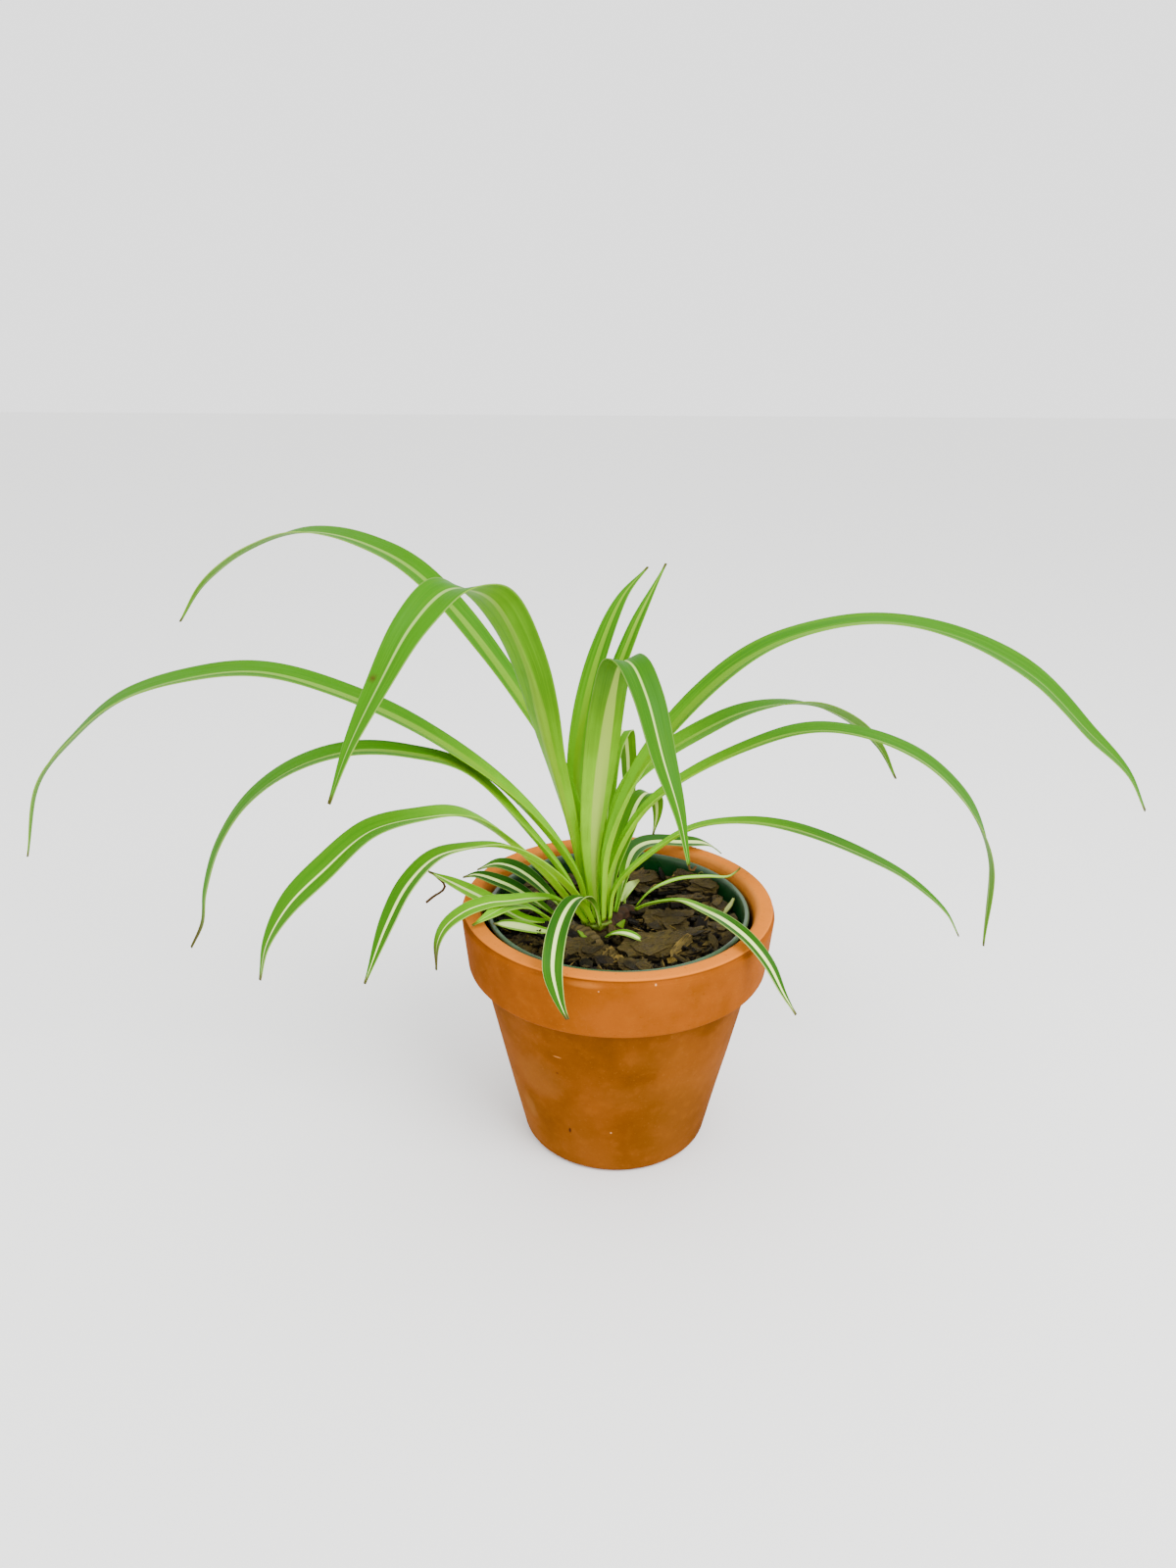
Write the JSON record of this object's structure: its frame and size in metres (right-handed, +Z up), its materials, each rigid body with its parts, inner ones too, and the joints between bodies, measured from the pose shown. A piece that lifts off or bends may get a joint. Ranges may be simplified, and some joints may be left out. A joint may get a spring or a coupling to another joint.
{
  "type": "potted spider plant",
  "caption": "Spider plant with long arching striped leaves, growing in bark mix in a green plastic nursery pot that stands inside a round terracotta pot with a deep collar.",
  "frame": {"origin": "on the pot's foot plane, under the middle of the bounding box", "axes": "+X towards the viewer's right, along the widest spread of the leaves; -Y towards the viewer; +Z up"},
  "size_m": [0.5412, 0.2535, 0.3043],
  "materials": {
    "clay": "unglazed, matt",
    "plastic": "smooth, slightly glossy",
    "potting_mix": "rough bark chips",
    "rhizome": "fibrous, matt",
    "leaf_green": "soft satin leaf",
    "leaf_striped": "soft satin leaf"
  },
  "bodies": {
    "root": {"clay_pot": "clay", "nursery_pot": "plastic", "soil": "potting_mix", "rhizome": "rhizome", "leaf_main_01": "leaf_green", "leaf_main_02": "leaf_green", "leaf_main_03": "leaf_green", "leaf_main_04": "leaf_green", "leaf_main_05": "leaf_green", "leaf_main_06": "leaf_green", "leaf_main_07": "leaf_green", "leaf_main_08": "leaf_green", "leaf_main_09": "leaf_green", "leaf_main_10": "leaf_green", "leaf_main_11": "leaf_green", "leaf_main_12": "leaf_green", "leaf_main_13": "leaf_green", "leaf_main_14": "leaf_striped", "leaf_main_15": "leaf_striped", "leaf_main_16": "leaf_striped", "leaf_main_17": "leaf_striped", "leaf_main_18": "leaf_striped", "leaf_left_01": "leaf_striped", "leaf_left_02": "leaf_striped", "leaf_left_03": "leaf_striped", "leaf_left_04": "leaf_striped", "leaf_left_05": "leaf_striped", "leaf_left_06": "leaf_striped", "leaf_right_01": "leaf_striped", "leaf_right_02": "leaf_striped", "leaf_right_03": "leaf_striped"}
  },
  "joints": []
}
